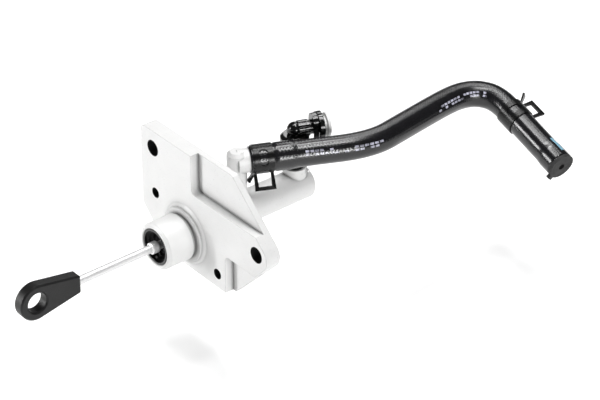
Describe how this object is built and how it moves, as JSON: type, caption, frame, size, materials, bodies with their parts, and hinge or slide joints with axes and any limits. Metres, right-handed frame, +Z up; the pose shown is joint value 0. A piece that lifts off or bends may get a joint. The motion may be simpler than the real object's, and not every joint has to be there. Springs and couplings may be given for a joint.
{
  "type": "clutch master cylinder",
  "caption": "Aluminium clutch master cylinder with mounting flange, push rod and eye, reservoir hose with spring clamps and plug, and a plastic outlet elbow with its shipping plug.",
  "frame": {"origin": "where the cylinder's axis meets the front mounting face of the flange, which is the centre of the two small bolt holes", "axes": "+X along the cylinder's axis from the push rod's side towards the barrel's closed end, +Z up through the inlet and outlet bosses, +Y to the left of someone who looks along +X"},
  "size_m": [0.3658, 0.1565, 0.0832],
  "materials": {
    "cast_aluminium": "fine cast grain",
    "bright_steel": "bright",
    "dark_spring_steel": "black phosphate",
    "black_plastic": "satin",
    "white_plastic": "matt",
    "grey_plastic": "matt",
    "black_rubber": "fine fabric texture",
    "piston_alloy": "turned"
  },
  "bodies": {
    "cylinder": {"cylinder_body": "cast_aluminium", "rod_guide": "black_plastic", "snap_ring": "dark_spring_steel", "stop_washer": "bright_steel", "return_spring": "bright_steel", "inlet_nipple": "black_plastic", "inlet_seal": "black_rubber", "outlet_seal": "black_rubber", "reservoir_hose": "black_rubber", "near_hose_clamp": "dark_spring_steel", "far_hose_clamp": "dark_spring_steel", "hose_plug": "grey_plastic", "outlet_elbow": "black_plastic", "elbow_pin": "bright_steel", "outlet_clip": "black_plastic", "outlet_cap": "white_plastic"},
    "piston": {"piston": "piston_alloy", "ball_clip": "white_plastic", "secondary_cup": "black_rubber", "primary_cup": "black_rubber", "cup_washer": "bright_steel", "spring_seat": "bright_steel"},
    "rod": {"push_rod": "bright_steel", "rod_eye": "black_plastic"}
  },
  "joints": [
    {"name": "piston_slide", "type": "slide", "parent": "cylinder", "child": "piston", "axis": [1, 0, 0], "range_m": [0, 0.03], "stiffness_N_per_m": 1200, "springref_m": -0.025, "deforming": ["return_spring"]},
    {"name": "rod_pivot", "type": "hinge", "parent": "piston", "child": "rod", "pos_m": [-0.004, 0, 0], "axis": [0, 1, 0], "range_deg": [-3.5, 3.5]}
  ]
}
